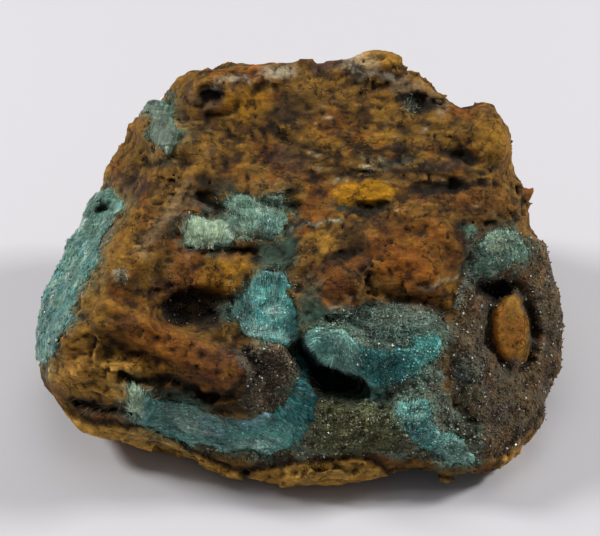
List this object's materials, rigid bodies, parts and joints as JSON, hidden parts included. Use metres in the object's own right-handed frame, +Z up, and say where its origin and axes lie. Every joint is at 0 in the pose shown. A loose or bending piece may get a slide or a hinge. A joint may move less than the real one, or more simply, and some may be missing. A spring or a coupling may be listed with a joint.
{
  "type": "aurichalcite specimen",
  "caption": "Loose mineral specimen: a brown limonite lump with teal aurichalcite crusts in its broken front hollow and on its flank, top and shoulder.",
  "frame": {"origin": "bottom centre of the specimen's box, on the surface that it rests on", "axes": "+X to the right along the specimen's length, +Y from the broken front with the hollow to the back, +Z up"},
  "size_m": [0.066, 0.0496, 0.0371],
  "materials": {
    "limonite": "rough earthy brown and ochre limonite with sparkling dark druse",
    "hollow_aurichalcite": "teal fibrous crust with a silky lustre",
    "flank_aurichalcite": "grey-teal scaly crust with small sparkles",
    "nodule_aurichalcite": "smooth grey-green botryoidal crust",
    "vein_aurichalcite": "pale mint fibrous crust",
    "shoulder_aurichalcite": "mint and grey-green tufted crust"
  },
  "bodies": {
    "root": {"limonite_matrix": "limonite", "front_hollow_crust": "hollow_aurichalcite", "left_flank_crust": "flank_aurichalcite", "upper_left_nodule": "nodule_aurichalcite", "upper_vein_crust": "vein_aurichalcite", "right_shoulder_crust": "shoulder_aurichalcite"}
  },
  "joints": []
}
